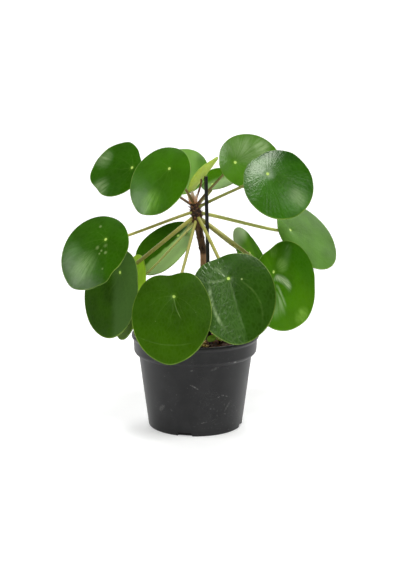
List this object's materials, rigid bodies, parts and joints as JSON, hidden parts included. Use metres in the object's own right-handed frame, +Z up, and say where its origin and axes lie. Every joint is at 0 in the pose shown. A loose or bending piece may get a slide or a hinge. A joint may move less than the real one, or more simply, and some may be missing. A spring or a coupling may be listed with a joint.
{
  "type": "potted chinese money plant",
  "caption": "Upright house plant with round, glossy, shield-like leaves on long stalks from a woody stem, in a tapered black nursery pot with a support stake.",
  "frame": {"origin": "middle of the pot's flat underside, where it stands", "axes": "+Z up along the pot's axis, -Y towards the plant's front, +X to its right"},
  "size_m": [0.26, 0.1602, 0.276],
  "materials": {
    "pot_plastic": "satin black moulded plastic, lightly scuffed",
    "potting_soil": "loose, dark, barky potting soil",
    "stem_bark": "matt brown bark with leaf scars",
    "tip_scales": "dry papery scales",
    "stake_plastic": "black plastic, slightly glossy",
    "leaf": "smooth glossy green leaf with a pale dot over the stalk",
    "young_leaf": "young yellow-green leaf, seen from below"
  },
  "bodies": {
    "root": {"pot": "pot_plastic", "soil": "potting_soil", "stem": "stem_bark", "growing_tip": "tip_scales", "stake": "stake_plastic", "leaf_upper_left_outer": "leaf", "leaf_upper_left_front": "leaf", "leaf_top_rear": "leaf", "leaf_youngest": "young_leaf", "leaf_upper_right_rear": "leaf", "leaf_top_right": "leaf", "leaf_upper_right_front": "leaf", "leaf_right_outer": "leaf", "leaf_right_rear": "leaf", "leaf_lower_right": "leaf", "leaf_front_right": "leaf", "leaf_front_left": "leaf", "leaf_left_outer": "leaf", "leaf_lower_left": "leaf", "leaf_left_rear": "leaf", "leaf_lower_left_rear": "leaf", "seedling": "leaf"}
  },
  "joints": []
}
